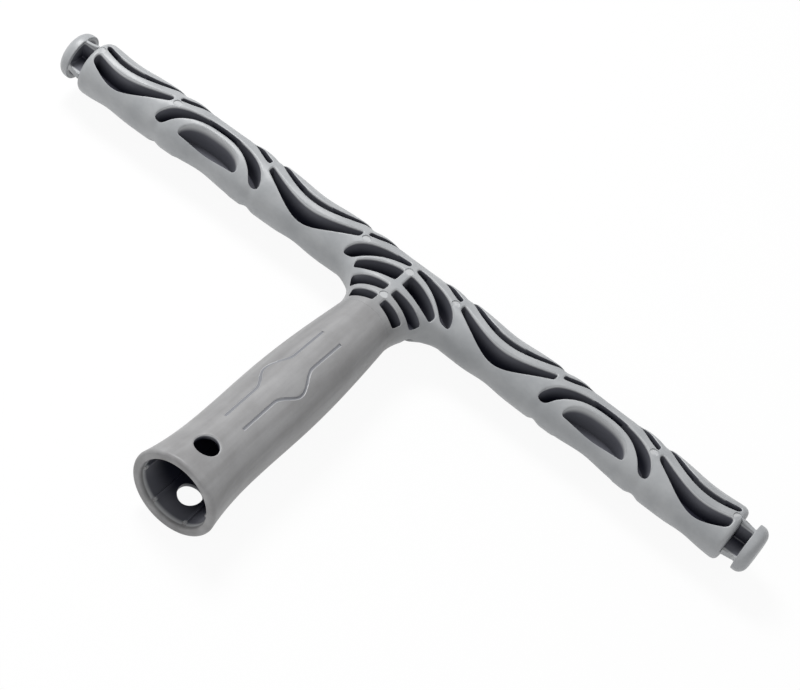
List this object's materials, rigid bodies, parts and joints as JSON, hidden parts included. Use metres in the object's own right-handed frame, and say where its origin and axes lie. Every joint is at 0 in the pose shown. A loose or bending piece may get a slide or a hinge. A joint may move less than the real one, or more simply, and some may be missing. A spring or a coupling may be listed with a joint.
{
  "type": "window scrubber T-bar",
  "caption": "T-bar of a window scrubber: grey plastic cross bar with a wave pattern of open cells, tapered pole socket handle and a round catch at each end for the washing sleeve.",
  "frame": {"origin": "middle of the part's bounding box: on the handle's axis, 69.0 mm from the bar's axis towards the mouth", "axes": "+X along the cross bar, -Y down the handle towards its open mouth, +Z out of the face with the sunk lines"},
  "size_m": [0.35, 0.1618, 0.0374],
  "materials": {
    "bar_plastic": "satin moulded, light grey",
    "handle_plastic": "satin moulded, grey"
  },
  "bodies": {
    "root": {"cross_bar": "bar_plastic", "handle_socket": "handle_plastic", "end_catch_left": "bar_plastic", "end_catch_right": "bar_plastic"}
  },
  "joints": []
}
